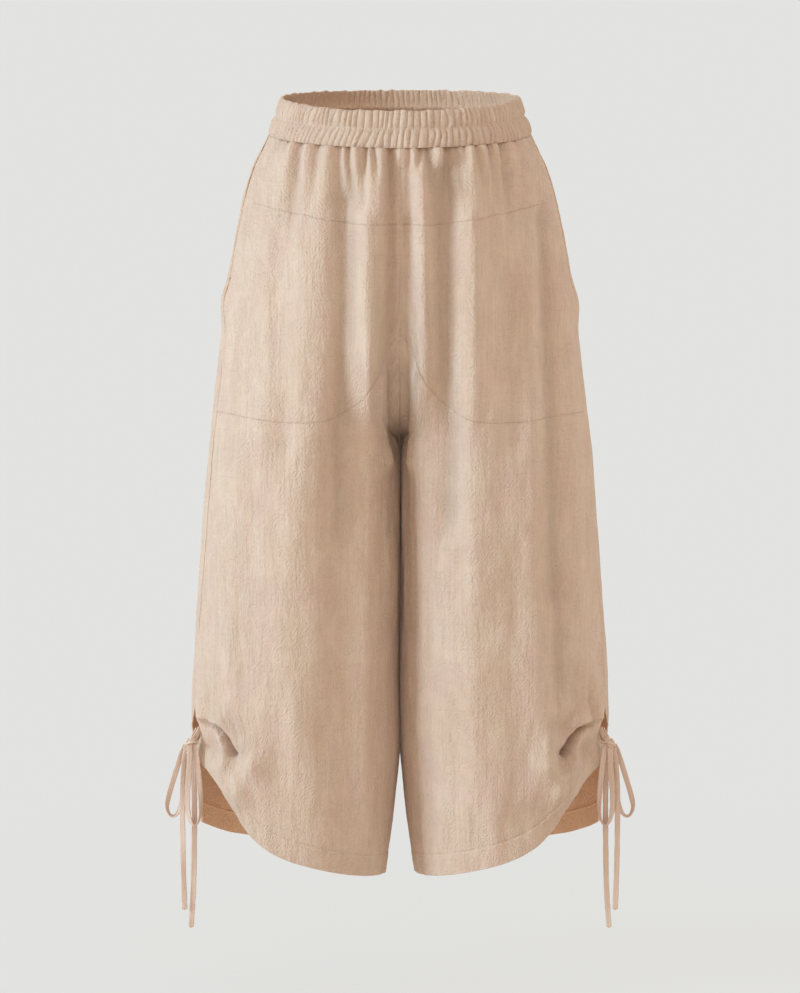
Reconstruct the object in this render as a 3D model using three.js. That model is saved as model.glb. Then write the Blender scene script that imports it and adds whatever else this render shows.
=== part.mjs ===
// Wide culottes in crinkled linen-cotton: an elastic waistband in two channels, front yokes, curved
// front seams, side pockets, a shirt-tail front hem and side slits drawn up by tied bows.
// They stand open and filled, as when worn, with nothing inside.
// Millimetres, +Z up, +X to the wearer's left, front towards -Y, origin in the middle of the waist.

import * as THREE from 'three';

// Driving sizes
const CLOTH = 1.4; // wall of one layer of cloth
const TURN_UP = 1.2; // second layer inside a hem
const HEM_DEPTH = 22; // height of the turned-up hem
const HEM_STEP = 0.8; // slope of the hem's inner edge
const SEAM_GAP = 0.3; // clear space kept between two pieces
const BAND_WALL = 2.8; // cloth, elastic and cloth
const BAND_HEIGHT = 37;
const CROTCH = -329; // height of the crotch
const AXIS_TOP = -60; // the halves begin to part below this height
const POCKET_END = -190; // lower end of the pocket mouth
const SLIT_TOP = -601; // top of the side slit

// The garment's outline by height: half the width, and how far it reaches forwards and backwards
const LEVELS = [
  { z: 34, half: 117, front: 86, back: 88 },
  { z: -19, half: 134, front: 95, back: 97 },
  { z: -55, half: 151, front: 103, back: 107 },
  { z: -96, half: 162.5, front: 108, back: 115 },
  { z: -157, half: 174, front: 113, back: 124 },
  { z: -229, half: 182.5, front: 115, back: 130 },
  { z: -311, half: 193, front: 111, back: 128 },
  { z: -394, half: 201, front: 105, back: 120 },
  { z: -518, half: 211, front: 99, back: 112 },
  { z: -610, half: 216, front: 97, back: 108 },
  { z: -700, half: 211, front: 96, back: 106 },
  { z: -785, half: 206, front: 96, back: 104 },
];

// Edges that run down the side, as the distance inside the garment's widest line: the pocket's
// mouth, the outseam below it, and the front's free edge beside the slit
const POCKET_MOUTH = [
  { z: -10, inset: 3 },
  { z: -50, inset: 9 },
  { z: -86, inset: 12.5 },
  { z: -112, inset: 9.5 },
  { z: -145, inset: 5.5 },
  { z: POCKET_END, inset: 3 },
];
const OUTSEAM = [
  { z: 0, inset: 0.3 },
  { z: -120, inset: 0.6 },
  { z: POCKET_END, inset: 3 },
  { z: -240, inset: 4 },
  { z: -300, inset: 5.5 },
  { z: SLIT_TOP, inset: 5.5 },
];
const SLIT_EDGE = [
  { z: SLIT_TOP, inset: 5.5 },
  { z: -620, inset: 10 },
  { z: -634, inset: 9.5 },
  { z: -650, inset: 4 },
  { z: -700, inset: 4 },
];

// Seams and hems across a panel, from its inner edge (across 0) to its side edge (across 1)
const YOKE_SEAM = [
  { across: 0, z: -113 },
  { across: 0.2, z: -112.5 },
  { across: 0.4, z: -107 },
  { across: 0.6, z: -100.5 },
  { across: 0.8, z: -95 },
  { across: 1, z: -90 },
];
const CURVED_SEAM = [
  { across: 0, z: -222 },
  { across: 0.05, z: -238 },
  { across: 0.1, z: -261 },
  { across: 0.2, z: -287 },
  { across: 0.3, z: -300 },
  { across: 0.42, z: -308 },
  { across: 0.55, z: -309 },
  { across: 0.7, z: -306 },
  { across: 0.85, z: -302 },
  { across: 1, z: -301 },
];
const FRONT_HEM = [
  { across: 0, z: -780 },
  { across: 0.27, z: -772 },
  { across: 0.5, z: -757 },
  { across: 0.62, z: -744 },
  { across: 0.71, z: -724 },
  { across: 0.78, z: -695 },
  { across: 0.85, z: -673 },
  { across: 0.94, z: -659 },
  { across: 1, z: -650 },
];
const BACK_HEM = [
  { across: 0, z: -780 },
  { across: 0.5, z: -769 },
  { across: 0.77, z: -754 },
  { across: 0.89, z: -742 },
  { across: 1, z: -730 },
];

// The largest folds of each face, as straight lines seen from the front or the back: a rise below
// zero is a trough. A side of 0 stands for both legs, 1 for the wearer's left and -1 for the right.
const FRONT_FOLDS = [
  { side: 0, x1: 47, z1: -70, x2: 52, z2: -400, rise: -5, width: 13 },
  { side: 0, x1: 26, z1: -80, x2: 26, z2: -330, rise: 3, width: 11 },
  { side: 0, x1: 110, z1: -60, x2: 114, z2: -330, rise: -3.5, width: 12 },
  { side: 0, x1: 76, z1: -120, x2: 82, z2: -500, rise: 3, width: 17 },
  { side: 1, x1: 142, z1: -110, x2: 152, z2: -480, rise: -3.5, width: 11 },
  { side: 1, x1: 84, z1: -560, x2: 96, z2: -700, rise: 4, width: 20 },
  { side: -1, x1: 112, z1: -380, x2: 106, z2: -620, rise: 4, width: 22 },
  { side: 0, x1: 196, z1: -636, x2: 168, z2: -650, rise: -8, width: 12 },
  { side: 0, x1: 190, z1: -610, x2: 168, z2: -600, rise: 4, width: 12 },
  { side: 0, x1: 184, z1: -664, x2: 160, z2: -692, rise: 6, width: 12 },
  { side: 0, x1: 152, z1: -640, x2: 140, z2: -680, rise: 3, width: 16 },
];
const BACK_FOLDS = [
  { side: 0, x1: 36, z1: -80, x2: 40, z2: -300, rise: -4, width: 13 },
  { side: 0, x1: 82, z1: -60, x2: 90, z2: -420, rise: 3.5, width: 17 },
  { side: 0, x1: 122, z1: -90, x2: 130, z2: -380, rise: -3.5, width: 13 },
  { side: 0, x1: 96, z1: -400, x2: 92, z2: -700, rise: -4, width: 20 },
  { side: 0, x1: 190, z1: -640, x2: 160, z2: -672, rise: -5, width: 13 },
];

// Rows of points down each front panel, as shares of its height: they crowd at the pocket's lower
// end and at the crotch, and the back has a row level with each of them
const YOKE_ROWS = [0, 0.3, 0.65, 1];
const HIP_ROWS = [0, 0.22, 0.38, 0.47, 0.58, 0.78, 1];
const LEG_ROWS = [0, 0.06, 0.12, 0.165, 0.2, 0.3, 0.42, 0.56, 0.7, 0.85, 1];
const PANEL_COLUMNS = 18;

// Gathers under the band: how far they stand out, and how fast they fade down the cloth
const GATHER_RISE = 3;
const GATHER_FADE = 48;

// Side ties: flat cords sewn to the slit's edges and tied in a bow. Places are given for the
// wearer's left side, and the other side is its mirror image.
const TIE_WIDTH = 5.6;
const TIE_THICKNESS = 2;
const TIE_STEP = 14; // length of one straight length of the plain cord
const KNOT_SECTIONS = [
  { x: 205.5, y: -43, z: -626.5, across: 2.6, deep: 1.2 },
  { x: 206.8, y: -45.4, z: -629, across: 3, deep: 2 },
  { x: 209.2, y: -47.8, z: -632, across: 4, deep: 3 },
  { x: 211, y: -49.4, z: -635.5, across: 5.8, deep: 4.2 },
  { x: 212.2, y: -49.8, z: -639.5, across: 5.6, deep: 4 },
  { x: 212.8, y: -50, z: -642.5, across: 3.6, deep: 2.8 },
];
const TIE_ROUTES = [
  {
    name: 'tie_loop_outer',
    points: [
      [218.8, -47.4, -640.3],
      [223.5, -47.5, -651],
      [230, -47.5, -672],
      [236.5, -47.5, -694],
      [238, -47, -706],
      [234, -46, -714],
      [228, -45, -712],
      [222.5, -44.5, -698],
      [219, -44.5, -676],
      [216.4, -44.8, -655],
      [214.6, -45, -643.5],
    ],
  },
  {
    name: 'tie_loop_inner',
    points: [
      [214.2, -53.3, -643],
      [214.6, -53.6, -662],
      [216.5, -53.6, -686],
      [216.5, -53.6, -706],
      [213, -53.2, -720],
      [207.5, -52.4, -722],
      [203.5, -51.6, -709],
      [204, -51, -687],
      [206.4, -50.8, -663],
      [209, -50.8, -643],
    ],
  },
  {
    name: 'tie_end_short',
    points: [
      [217.8, -50.6, -643.2],
      [220.5, -50.6, -660],
      [222, -50.6, -690],
      [222, -51, -730],
      [221.4, -52, -770],
      [220, -53, -810],
    ],
  },
  {
    name: 'tie_end_long',
    points: [
      [212.6, -48, -643],
      [211, -47.8, -662],
      [210, -47.8, -700],
      [210.4, -48, -745],
      [211.4, -49, -790],
      [214, -50, -829],
    ],
  },
];

const CLOTH_LOOK = { color: 0xdec4ac, roughness: 0.92, metalness: 0 };
const POCKET_LOOK = { color: 0xd0b296, roughness: 0.92, metalness: 0 };
const TIE_LOOK = { color: 0xd8bca3, roughness: 0.9, metalness: 0 };

function clamp(value, low, high) {
  return Math.min(Math.max(value, low), high);
}

// Smooth curve through the rows of a table, looked up by one column and read from another
function read(rows, by, want, at) {
  const last = rows.length - 1;
  const rising = rows[last][by] > rows[0][by];
  let row = 0;
  while (row < last - 1 && (rising ? at > rows[row + 1][by] : at < rows[row + 1][by])) {
    row += 1;
  }
  const slope = (k) => {
    const low = rows[Math.max(k - 1, 0)];
    const high = rows[Math.min(k + 1, last)];
    return (high[want] - low[want]) / (high[by] - low[by]);
  };
  const span = rows[row + 1][by] - rows[row][by];
  const t = clamp((at - rows[row][by]) / span, 0, 1);
  const ease = t * t * (3 - 2 * t);
  const bend = t * (1 - t) * (1 - t) * slope(row) - t * t * (1 - t) * slope(row + 1);
  return rows[row][want] * (1 - ease) + rows[row + 1][want] * ease + bend * span;
}

// Inner side of a leg: the legs touch down to the knees and part below them
function innerSide(z) {
  const partingHeight = -650;
  const fullDrop = 127;
  const fullGap = 15;
  return SEAM_GAP / 2 + fullGap * Math.max((partingHeight - z) / fullDrop, 0) ** 1.2;
}

// One half of the garment at a height: an upright tube whose axis moves from the middle plane at
// the waist to the leg's own centre at the crotch
function tubeAt(z) {
  const bulge = 4.5 * Math.exp(-(((z - POCKET_END) / 20) ** 2));
  const half = read(LEVELS, 'z', 'half', z) + bulge;
  const inner = innerSide(z);
  const drop = clamp((AXIS_TOP - z) / (AXIS_TOP - CROTCH), 0, 1);
  const parted = 1 - (1 - drop ** 3.5) ** 2;
  const axis = ((half + inner) / 2) * parted;
  return {
    axis,
    inner,
    across: half - axis,
    front: read(LEVELS, 'z', 'front', z),
    back: read(LEVELS, 'z', 'back', z),
  };
}

// Angle round the tube from its innermost line at which it meets the middle plane
function startAngle(z) {
  const tube = tubeAt(z);
  const seamAngle = SEAM_GAP / 2 / tube.front;
  return Math.max(Math.acos(clamp((tube.axis - tube.inner) / tube.across, -1, 1)), seamAngle);
}

// Angle of an edge that lies a given distance inside the tube's widest line
function edgeAngle(z, inset) {
  return Math.PI - Math.acos(1 - inset / tubeAt(z).across);
}

// Height of a fold above the plain tube, from its distance to the fold's line
function foldRise(folds, side, x, z) {
  let rise = 0;
  for (const fold of folds) {
    if (fold.side !== 0 && fold.side !== side) {
      continue;
    }
    const dx = fold.x2 - fold.x1;
    const dz = fold.z2 - fold.z1;
    const t = clamp(((x - fold.x1) * dx + (z - fold.z1) * dz) / (dx * dx + dz * dz), 0, 1);
    const distance = Math.hypot(x - fold.x1 - dx * t, z - fold.z1 - dz * t);
    rise += fold.rise * Math.exp(-((distance / fold.width) ** 2));
  }
  return rise;
}

// Point of the wearer's left half: the angle is counted from the inside of the leg, round the back
// when it is positive and round the front when it is negative
function bodyPoint(side, z, angle, gather, depth) {
  const tube = tubeAt(z);
  const towardsBack = Math.sin(angle) > 0;
  const reach = towardsBack ? tube.back : tube.front;
  const x = tube.axis - tube.across * Math.cos(angle);
  const y = reach * Math.sin(angle);
  const normal = new THREE.Vector2(-Math.cos(angle) / tube.across, Math.sin(angle) / reach);
  normal.normalize();
  const clearOfMiddle = clamp((x - tube.inner) / 20, 0, 1);
  const folds = towardsBack ? BACK_FOLDS : FRONT_FOLDS;
  const rise = foldRise(folds, side, x, z) * clearOfMiddle * Math.abs(Math.sin(angle));
  const out = rise + gather - depth;
  return new THREE.Vector3(side * (x + normal.x * out), y + normal.y * out, z);
}

// Height of the band's top edge: lowest at the front and highest at the back
function rimHeight(angle) {
  const towardsFront = -Math.sin(angle);
  return 15.5 - 15.5 * towardsFront + 3.5 * (1 - towardsFront ** 2);
}

function bandBottom(angle) {
  return rimHeight(angle) - BAND_HEIGHT;
}

// Closed solid between an outer and an inner grid of points, rows by columns. A ring's columns
// join up, and any other grid is closed by its four edges. A mirrored grid is turned face out.
function shell(outer, inner, ring, mirrored) {
  const rows = outer.length;
  const columns = outer[0].length;
  const points = [...outer.flat(), ...inner.flat()];
  const innerStart = rows * columns;
  const faces = [];
  const quad = (a, b, c, d) => {
    if (mirrored) {
      faces.push(a, c, b, a, d, c);
    } else {
      faces.push(a, b, c, a, c, d);
    }
  };
  const spans = ring ? columns : columns - 1;
  for (let i = 0; i < rows - 1; i += 1) {
    for (let j = 0; j < spans; j += 1) {
      const a = i * columns + j;
      const b = i * columns + ((j + 1) % columns);
      const c = b + columns;
      const d = a + columns;
      quad(a, d, c, b);
      quad(innerStart + a, innerStart + b, innerStart + c, innerStart + d);
    }
  }
  for (let j = 0; j < spans; j += 1) {
    const a = j;
    const b = (j + 1) % columns;
    const foot = (rows - 1) * columns;
    quad(a, b, innerStart + b, innerStart + a);
    quad(foot + b, foot + a, innerStart + foot + a, innerStart + foot + b);
  }
  if (!ring) {
    for (let i = 0; i < rows - 1; i += 1) {
      const a = i * columns;
      const b = a + columns;
      const end = columns - 1;
      quad(b, a, innerStart + a, innerStart + b);
      quad(a + end, b + end, innerStart + b + end, innerStart + a + end);
    }
  }
  const geometry = new THREE.BufferGeometry();
  geometry.setAttribute('position', new THREE.Float32BufferAttribute(points.flatMap((p) => p.toArray()), 3));
  geometry.setIndex(faces);
  geometry.computeVertexNormals();
  return geometry;
}

function piece(name, geometry, look) {
  const mesh = new THREE.Mesh(geometry, new THREE.MeshStandardMaterial({ ...look, flatShading: true }));
  mesh.name = name;
  return mesh;
}

// Elastic waistband: one ring of cloth over two channels, pinched between and below them
function waistband() {
  const columns = 80;
  const ridge = 1;
  const profile = [
    { down: 0, out: 0 },
    { down: 0.2, out: 2 },
    { down: 0.49, out: -0.4 },
    { down: 0.7, out: 2.4 },
    { down: 1, out: -1 },
  ];
  const outer = [];
  const inner = [];
  for (const row of profile) {
    const outerRow = [];
    const innerRow = [];
    for (let j = 0; j < columns; j += 1) {
      const turn = (j / columns) * 2 * Math.PI;
      const z = rimHeight(turn) - BAND_HEIGHT * row.down;
      const ripple = (j % 2 === 0 ? ridge : -ridge) * (row.out > 1 ? 1 : 0.6);
      const tube = tubeAt(z);
      const reach = Math.sin(turn) > 0 ? tube.back : tube.front;
      const out = row.out + ripple;
      outerRow.push(new THREE.Vector3((tube.across + out) * Math.cos(turn), (reach + out) * Math.sin(turn), z));
      const hollow = out - BAND_WALL;
      innerRow.push(
        new THREE.Vector3((tube.across + hollow) * Math.cos(turn), (reach + hollow) * Math.sin(turn), z),
      );
    }
    outer.push(outerRow);
    inner.push(innerRow);
  }
  return piece('waistband', shell(outer, inner, true, false), CLOTH_LOOK);
}

// Panel of cloth between two seams. `heights` gives the height of a row at a place across the
// panel, `angles` the angles of its inner and side edges at a height, and `walls` the wall by row.
function panel(name, side, plan) {
  const outer = [];
  const inner = [];
  const { columns, rows, heights, angles, look } = plan;
  const backwards = plan.face > 0;
  for (let i = 0; i < rows; i += 1) {
    const outerRow = [];
    const innerRow = [];
    for (let j = 0; j <= columns; j += 1) {
      const across = j / columns;
      const z = heights(across, i);
      const edge = angles(z);
      const angle = plan.face * (edge.inner + (edge.side - edge.inner) * across);
      const below = Math.max(bandBottom(angle) - z, 0);
      const clearOfEdges = Math.min(8 * across, 8 * (1 - across), 1);
      const swell = Math.min(0.3 + below / 22, 1) * Math.exp(-below / GATHER_FADE) * clearOfEdges;
      const gather = plan.gathered ? GATHER_RISE * swell * (j % 2 === 0 ? -1 : 1) : 0;
      const lie = plan.lie ?? 0;
      outerRow.push(bodyPoint(side, z, angle, gather, lie));
      innerRow.push(bodyPoint(side, z, angle, gather, lie + plan.wall(i)));
    }
    outer.push(outerRow);
    inner.push(innerRow);
  }
  return piece(name, shell(outer, inner, false, (side > 0) === backwards), look ?? CLOTH_LOOK);
}

function oneLayer() {
  return CLOTH;
}

function hemWall(rows) {
  return (i) => (i >= rows - 2 ? CLOTH + TURN_UP : CLOTH);
}

function seamHeight(rows, shift) {
  return (across) => read(rows, 'across', 'z', across) + shift;
}

// Top edge of a panel, just under the band: the angle and the height settle in a few turns
function underBand(face, angles) {
  return (across) => {
    let z = 0;
    for (let turn = 0; turn < 6; turn += 1) {
      const edge = angles(z);
      z = bandBottom(face * (edge.inner + (edge.side - edge.inner) * across)) - SEAM_GAP;
    }
    return z;
  };
}

function frontEdgeInset(z) {
  if (z > POCKET_END) {
    return read(POCKET_MOUTH, 'z', 'inset', z);
  }
  return read(z > SLIT_TOP ? OUTSEAM : SLIT_EDGE, 'z', 'inset', z);
}

function frontAngles(z) {
  return { inner: startAngle(z), side: edgeAngle(z, frontEdgeInset(z)) };
}

// The back reaches round the side to the outseam, and draws back from the slit below it
function backAngles(z) {
  const atSeam = 2 * Math.PI - edgeAngle(z, read(OUTSEAM, 'z', 'inset', z)) - SEAM_GAP / 100;
  const besideSlit = Math.PI - (0.16 * clamp(SLIT_TOP - z, 0, 130)) / 130;
  const intoSlit = clamp((SLIT_TOP - z) / 40, 0, 1);
  const ease = intoSlit * intoSlit * (3 - 2 * intoSlit);
  return { inner: startAngle(z), side: atSeam * (1 - ease) + besideSlit * ease };
}

// Heights of the rows between two seams at a place across the panel
function betweenSeams(top, foot, shares) {
  return (across, i) => top(across) * (1 - shares[i]) + foot(across) * shares[i];
}

// The same from a seam to a hem, with two more rows for the step and the turned-up hem
function seamToHem(top, hem, shares) {
  const turned = (across) => hem(across) + HEM_DEPTH;
  const body = betweenSeams(top, turned, shares);
  const lower = [(across) => turned(across) - HEM_STEP, hem];
  return (across, i) => (i < shares.length ? body(across, i) : lower[i - shares.length](across));
}

function frontPanels(side, hand) {
  const half = SEAM_GAP / 2;
  const shared = { face: -1, columns: PANEL_COLUMNS, angles: frontAngles, gathered: true };
  return [
    panel(`front_yoke_${hand}`, side, {
      ...shared,
      rows: YOKE_ROWS.length,
      heights: betweenSeams(underBand(-1, frontAngles), seamHeight(YOKE_SEAM, half), YOKE_ROWS),
      wall: oneLayer,
    }),
    panel(`front_hip_${hand}`, side, {
      ...shared,
      rows: HIP_ROWS.length,
      heights: betweenSeams(seamHeight(YOKE_SEAM, -half), seamHeight(CURVED_SEAM, half), HIP_ROWS),
      wall: oneLayer,
    }),
    panel(`front_leg_${hand}`, side, {
      ...shared,
      rows: LEG_ROWS.length + 2,
      heights: seamToHem(seamHeight(CURVED_SEAM, -half), seamHeight(FRONT_HEM, 0), LEG_ROWS),
      wall: hemWall(LEG_ROWS.length + 2),
    }),
  ];
}

// Heights of the front's rows at its inner edge and at its side, which the back's rows follow
function frontRowsAt(across) {
  const yoke = betweenSeams(() => bandBottom(-Math.PI / 2), seamHeight(YOKE_SEAM, 0), YOKE_ROWS);
  const hip = betweenSeams(seamHeight(YOKE_SEAM, 0), seamHeight(CURVED_SEAM, 0), HIP_ROWS);
  const leg = seamToHem(seamHeight(CURVED_SEAM, 0), seamHeight(FRONT_HEM, 0), LEG_ROWS);
  return [
    ...YOKE_ROWS.map((_, i) => yoke(across, i)),
    ...HIP_ROWS.slice(1).map((_, i) => hip(across, i + 1)),
    ...LEG_ROWS.slice(1, -1).map((_, i) => leg(across, i + 1)),
  ];
}

function backPanel(side, hand) {
  const innerRows = [...frontRowsAt(0), -722];
  const sideRows = [...frontRowsAt(1), -645];
  const top = underBand(1, backAngles);
  const hem = seamHeight(BACK_HEM, 0);
  const lower = seamToHem(hem, hem, [0]);
  const bodyRows = innerRows.length;
  const heights = (across, i) => {
    if (i === bodyRows) {
      return hem(across) + HEM_DEPTH;
    }
    if (i > bodyRows) {
      return lower(across, i - bodyRows);
    }
    const level = innerRows[i] * (1 - across) + sideRows[i] * across;
    return i === 0 ? top(across) : Math.min(level, top(across) - 10 * i);
  };
  return panel(`back_${hand}`, side, {
    face: 1,
    columns: PANEL_COLUMNS,
    rows: bodyRows + 3,
    angles: backAngles,
    gathered: true,
    heights,
    wall: hemWall(bodyRows + 3),
  });
}

// Back wall of the side pocket: it lies close behind the front and shows in the pocket's mouth
function pocketBack(side, hand) {
  const rows = 9;
  const foot = -226;
  const behindFront = 0.5;
  const pastSeam = 0.06;
  const angles = (z) => {
    const mouth = edgeAngle(z, read(POCKET_MOUTH, 'z', 'inset', z));
    return { inner: mouth - behindFront, side: Math.PI + pastSeam };
  };
  const shares = Array.from({ length: rows }, (_, i) => i / (rows - 1));
  return panel(`pocket_back_${hand}`, side, {
    face: -1,
    columns: 5,
    rows,
    angles,
    gathered: false,
    heights: betweenSeams(underBand(-1, angles), () => foot, shares),
    wall: () => TURN_UP,
    lie: CLOTH + SEAM_GAP + GATHER_RISE * 0.8,
    look: POCKET_LOOK,
  });
}

// Knot and the short lead that joins it to the slit: ten-sided sections along a line
function tieKnot(side, hand) {
  const sides = 10;
  const outer = [];
  for (const section of KNOT_SECTIONS) {
    const row = [];
    for (let j = 0; j < sides; j += 1) {
      const turn = (j / sides) * 2 * Math.PI;
      row.push(
        new THREE.Vector3(
          side * (section.x + section.across * Math.cos(turn)),
          section.y + section.deep * Math.sin(turn),
          section.z,
        ),
      );
    }
    outer.push(row);
  }
  const ends = [KNOT_SECTIONS[0], KNOT_SECTIONS[KNOT_SECTIONS.length - 1]];
  const points = [...outer.flat(), ...ends.map((end) => new THREE.Vector3(side * end.x, end.y, end.z))];
  const faces = [];
  const face = (a, b, c) => (side > 0 ? faces.push(a, b, c) : faces.push(a, c, b));
  const foot = (KNOT_SECTIONS.length - 1) * sides;
  const topCentre = points.length - 2;
  for (let j = 0; j < sides; j += 1) {
    const next = (j + 1) % sides;
    for (let i = 0; i < KNOT_SECTIONS.length - 1; i += 1) {
      const a = i * sides + j;
      const b = i * sides + next;
      face(a, a + sides, b + sides);
      face(a, b + sides, b);
    }
    face(topCentre, j, next);
    face(topCentre + 1, foot + next, foot + j);
  }
  const geometry = new THREE.BufferGeometry();
  geometry.setAttribute('position', new THREE.Float32BufferAttribute(points.flatMap((p) => p.toArray()), 3));
  geometry.setIndex(faces);
  geometry.computeVertexNormals();
  return piece(`tie_knot_${hand}`, geometry, TIE_LOOK);
}

// Plain length of a tie: a flat eight-sided section along its route
function tieTube(side, hand, route) {
  const sides = 8;
  const section = new THREE.Shape();
  for (let j = 0; j < sides; j += 1) {
    const turn = ((j + 0.5) / sides) * 2 * Math.PI;
    const flat = (TIE_THICKNESS / 2) * Math.cos(turn);
    const wide = (TIE_WIDTH / 2) * Math.sin(turn);
    if (j === 0) {
      section.moveTo(flat, wide);
    } else {
      section.lineTo(flat, wide);
    }
  }
  section.closePath();
  const path = new THREE.CatmullRomCurve3(
    route.points.map(([x, y, z]) => new THREE.Vector3(side * x, y, z)),
    false,
    'centripetal',
  );
  const steps = Math.round(path.getLength() / TIE_STEP);
  const loop = route.points.length > 6;
  const geometry = new THREE.ExtrudeGeometry(section, {
    steps: loop ? steps * 2 : steps,
    extrudePath: path,
    bevelEnabled: false,
  });
  return piece(`${route.name}_${hand}`, geometry, TIE_LOOK);
}

const culottes = new THREE.Group();
culottes.name = 'culottes';
culottes.add(waistband());
for (const [side, hand] of [[1, 'left'], [-1, 'right']]) {
  culottes.add(...frontPanels(side, hand));
  culottes.add(backPanel(side, hand));
  culottes.add(pocketBack(side, hand));
  culottes.add(tieKnot(side, hand));
  for (const route of TIE_ROUTES) {
    culottes.add(tieTube(side, hand, route));
  }
}

export default culottes;
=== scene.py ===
# Wide culottes in crinkled linen-cotton, standing open as when worn: an elastic waistband in two
# channels, gathered front yokes, curved front seams, side pockets, and side slits tied in bows.

import math

import bpy
import numpy as np
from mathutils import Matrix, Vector


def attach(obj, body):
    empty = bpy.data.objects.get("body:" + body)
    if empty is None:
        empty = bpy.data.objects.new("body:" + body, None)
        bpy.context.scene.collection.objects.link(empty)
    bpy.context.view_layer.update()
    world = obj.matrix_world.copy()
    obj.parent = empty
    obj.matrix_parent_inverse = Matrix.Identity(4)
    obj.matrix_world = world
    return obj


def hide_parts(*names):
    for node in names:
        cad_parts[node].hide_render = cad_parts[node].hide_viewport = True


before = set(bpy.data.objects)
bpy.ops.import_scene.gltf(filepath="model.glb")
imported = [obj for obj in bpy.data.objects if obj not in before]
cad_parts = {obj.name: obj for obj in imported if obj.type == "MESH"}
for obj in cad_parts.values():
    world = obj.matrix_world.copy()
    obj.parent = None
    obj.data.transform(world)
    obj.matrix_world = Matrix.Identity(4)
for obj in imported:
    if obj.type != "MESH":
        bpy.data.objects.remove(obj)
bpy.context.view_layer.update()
mm = 0.001


# ---------------------------------------------------------------------------------------------
# The studio: a pale floor under the hanging garment, and a room of the same pale paper all round.
# A broad soft lamp stands at the front left, a weaker one by the camera, and one lights the rim.
PAPER = (0.765, 0.768, 0.752)
FLOOR_HEIGHT = -0.90
AIM = Vector((0.0, 0.0, -0.390))
CAMERA_DISTANCE = 3.2
CAMERA_RISE = math.radians(4)
IMAGE_HEIGHT = 1.0228  # what the view covers at the garment
SENSOR = 36.0


def make_camera():
    """The camera looks along +Y and 4 degrees down at the middle of the garment. Its lens is
    sensor x distance / height covered."""
    data = bpy.data.cameras.new("camera")
    data.sensor_width = SENSOR
    data.lens = SENSOR * CAMERA_DISTANCE / IMAGE_HEIGHT
    data.clip_end = 60
    camera = bpy.data.objects.new("camera", data)
    back = Vector((0, -math.cos(CAMERA_RISE), math.sin(CAMERA_RISE)))
    camera.location = AIM + back * CAMERA_DISTANCE
    camera.rotation_euler = (-back).to_track_quat("-Z", "Y").to_euler()
    bpy.context.scene.collection.objects.link(camera)
    bpy.context.scene.camera = camera


def make_lamp(name, place, size, power, colour):
    """A square lamp at a place, turned to face the garment."""
    data = bpy.data.lights.new(name, "AREA")
    data.size = size
    data.energy = power
    data.color = colour
    lamp = bpy.data.objects.new(name, data)
    lamp.location = place
    lamp.rotation_euler = (AIM - Vector(place)).to_track_quat("-Z", "Y").to_euler()
    bpy.context.scene.collection.objects.link(lamp)


make_camera()
make_lamp("lamp_key", (-2.9, -1.25, 0.35), 1.0, 70, (0.67, 0.92, 1.13))
make_lamp("lamp_front", (-0.5, -3.4, 0.6), 2.0, 9, (1.0, 0.95, 0.90))
make_lamp("lamp_rim", (2.9, 0.5, 0.1), 1.6, 13, (0.95, 0.97, 1.0))

bpy.context.scene.view_settings.view_transform = "Standard"


class Shade:
    """A socket in a material's node tree. Arithmetic on it adds Math nodes, and node() adds any
    other node."""

    def __init__(self, tree, socket=None):
        self.tree = tree
        self.socket = socket

    def node(self, kind, settings=None, inputs=None, out=0):
        made = self.tree.nodes.new(kind)
        for key, value in (settings or {}).items():
            if key == "stops":
                ramp = made.color_ramp
                for _ in range(len(value) - len(ramp.elements)):
                    ramp.elements.new(1.0)
                for element, (place, colour) in zip(ramp.elements, value):
                    element.position = place
                    element.color = colour
            else:
                setattr(made, key, value)
        for key, value in (inputs or {}).items():
            if isinstance(value, Shade):
                self.tree.links.new(value.socket, made.inputs[key])
            else:
                made.inputs[key].default_value = value
        return Shade(self.tree, made.outputs[out])

    def maths(self, operation, *values):
        inputs = dict(enumerate(values))
        return self.node("ShaderNodeMath", {"operation": operation}, inputs)

    def __add__(self, other):
        return self.maths("ADD", self, other)

    def __sub__(self, other):
        return self.maths("SUBTRACT", self, other)

    def __rsub__(self, other):
        return self.maths("SUBTRACT", other, self)

    def __mul__(self, other):
        return self.maths("MULTIPLY", self, other)

    __radd__ = __add__
    __rmul__ = __mul__

    def between(self, low, high):
        """0 below low, 1 above high and a soft step from one to the other."""
        inputs = {"Value": self, "From Min": low, "From Max": high}
        return self.node("ShaderNodeMapRange", {"interpolation_type": "SMOOTHSTEP"}, inputs)

    def mix(self, first, second):
        """Colours mixed by this value: all of the first at 0 and all of the second at 1."""
        inputs = {0: self, 6: first, 7: second}
        return self.node("ShaderNodeMix", {"data_type": "RGBA"}, inputs, 2)


def new_material(name):
    material = bpy.data.materials.new(name)
    material.use_nodes = True
    return material, Shade(material.node_tree), material.node_tree.nodes["Principled BSDF"]


ROOM_LIGHT = (0.735, 0.645, 0.562)


def make_room():
    """The paper room all round: pale where it is seen, and dimmer and warmer in the light that
    it gives, as it stands well back from the lamps."""
    world = bpy.data.worlds.new("paper_room")
    world.use_nodes = True
    start = Shade(world.node_tree)
    ray = start.node("ShaderNodeLightPath", out="Is Camera Ray")
    colour = ray.mix((*ROOM_LIGHT, 1), (*PAPER, 1))
    glow = world.node_tree.nodes["Background"]
    world.node_tree.links.new(colour.socket, glow.inputs["Color"])
    bpy.context.scene.world = world


make_room()


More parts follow.
